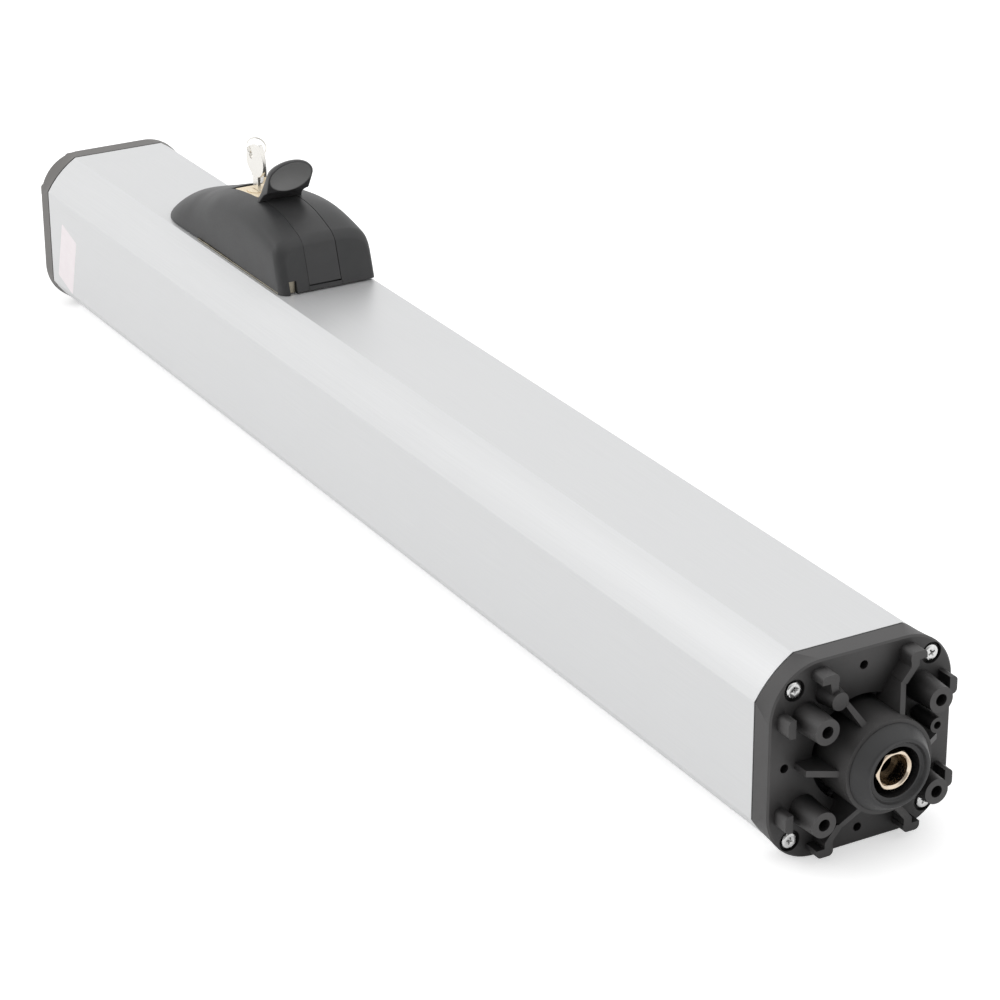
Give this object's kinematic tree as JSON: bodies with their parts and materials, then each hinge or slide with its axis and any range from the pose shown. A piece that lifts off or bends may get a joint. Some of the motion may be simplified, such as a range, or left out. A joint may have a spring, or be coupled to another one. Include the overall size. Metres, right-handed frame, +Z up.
{
  "type": "hydraulic swing gate operator",
  "caption": "Slim hydraulic ram for a swing gate: octagonal metal housing between moulded end caps, hexagonal rod end, and a keyed release lever under a low cover on top.",
  "frame": {"origin": "on the ram's axis, in the plane of the rear cap's four boss ends, where the rear bracket seats", "axes": "+X along the ram towards its free end, +Z up through the release cover, +Y to the left seen from the rear"},
  "size_m": [0.896, 0.1, 0.1665],
  "materials": {
    "housing_aluminium": "satin anodised",
    "gland_aluminium": "machined",
    "block_aluminium": "machined",
    "cap_plastic": "moulded, satin",
    "collar_plastic": "moulded, satin",
    "cover_plastic": "moulded, satin",
    "lever_plastic": "moulded, satin",
    "seal_rubber": "matt",
    "zinc_steel": "zinc plated",
    "plain_steel": "ground",
    "core_steel": "laminated",
    "rod_chrome": "hard chromed",
    "bush_brass": "machined",
    "lock_brass": "bare",
    "copper": "enamelled copper wire",
    "yellow_zinc": "yellow passivated zinc",
    "key_nickel": "nickel plated",
    "motor_paint": "painted"
  },
  "bodies": {
    "housing": {"housing_profile": "housing_aluminium", "rear_cap": "cap_plastic", "front_cap": "cap_plastic", "rear_gasket": "seal_rubber", "front_gasket": "seal_rubber", "rear_cap_screws": "zinc_steel", "front_cap_screws": "zinc_steel", "rod_gland": "gland_aluminium", "rod_bush": "bush_brass", "rod_seal": "seal_rubber", "rod_wiper": "seal_rubber", "front_collar": "collar_plastic", "cylinder_tube": "plain_steel", "valve_block": "block_aluminium", "relief_screws": "zinc_steel", "delivery_pipe": "plain_steel", "pump_body": "block_aluminium", "pump_cover": "block_aluminium", "pump_bolts": "zinc_steel", "oil_strainer": "bush_brass", "motor_casing": "motor_paint", "motor_flange": "block_aluminium", "motor_bearings": "plain_steel", "shaft_seal": "seal_rubber", "motor_stator": "core_steel", "motor_windings": "copper", "motor_buffer": "seal_rubber", "rear_insert": "plain_steel", "cable_gland": "cap_plastic", "gland_nut": "cap_plastic", "filler_plug": "zinc_steel", "hood_shell": "cover_plastic", "hood_bracket": "yellow_zinc", "bracket_screws": "zinc_steel", "lever_pin": "plain_steel", "lock_body": "lock_brass"},
    "rod": {"piston_rod": "rod_chrome", "piston": "block_aluminium", "piston_seal": "seal_rubber", "piston_nut": "zinc_steel", "stop_tube": "plain_steel", "rod_end": "yellow_zinc"},
    "rotor": {"motor_rotor": "core_steel", "motor_shaft": "plain_steel", "drive_gear": "plain_steel"},
    "idler": {"driven_gear": "plain_steel"},
    "lever": {"release_lever": "lever_plastic"},
    "spindle": {"release_spindle": "plain_steel"},
    "plug": {"lock_plug": "lock_brass"},
    "key": {"key": "key_nickel"},
    "key_ring": {"key_ring": "key_nickel"},
    "spare_key": {"spare_key": "key_nickel"}
  },
  "joints": [
    {"name": "rod_slide", "type": "slide", "parent": "housing", "child": "rod", "axis": [1, 0, 0], "range_m": [0, 0.4]},
    {"name": "motor_spin", "type": "hinge", "parent": "housing", "child": "rotor", "pos_m": [0.183, 0, 0], "axis": [1, 0, 0], "continuous": true},
    {"name": "idler_spin", "type": "hinge", "parent": "housing", "child": "idler", "pos_m": [0.183, 0, -0.024], "axis": [1, 0, 0], "continuous": true},
    {"name": "lever_hinge", "type": "hinge", "parent": "housing", "child": "lever", "pos_m": [0.3226, 0, 0.0546], "axis": [0, 1, 0], "range_deg": [0, 55]},
    {"name": "spindle_lift", "type": "slide", "parent": "housing", "child": "spindle", "axis": [0, 0, 1], "range_m": [0, 0.0088]},
    {"name": "plug_turn", "type": "hinge", "parent": "housing", "child": "plug", "pos_m": [0.2395, 0, 0.084], "axis": [0, 0, 1], "range_deg": [0, 90]},
    {"name": "key_pull", "type": "slide", "parent": "plug", "child": "key", "axis": [0, 0, 1], "range_m": [0, 0.024]},
    {"name": "ring_swing", "type": "hinge", "parent": "key", "child": "key_ring", "pos_m": [0.2345, 0, 0.1044], "axis": [0, 1, 0], "range_deg": [-3, 20]},
    {"name": "spare_swing", "type": "hinge", "parent": "key_ring", "child": "spare_key", "pos_m": [0.23546, 0.00574, 0.10325], "axis": [0.2588, 0.9659, 0], "range_deg": [-3, 12]}
  ],
  "couplings": [
    {"joint": "idler_spin", "follows": "motor_spin", "ratio": -1},
    {"joint": "spindle_lift", "follows": "lever_hinge", "m_per_rad": 0.009}
  ]
}
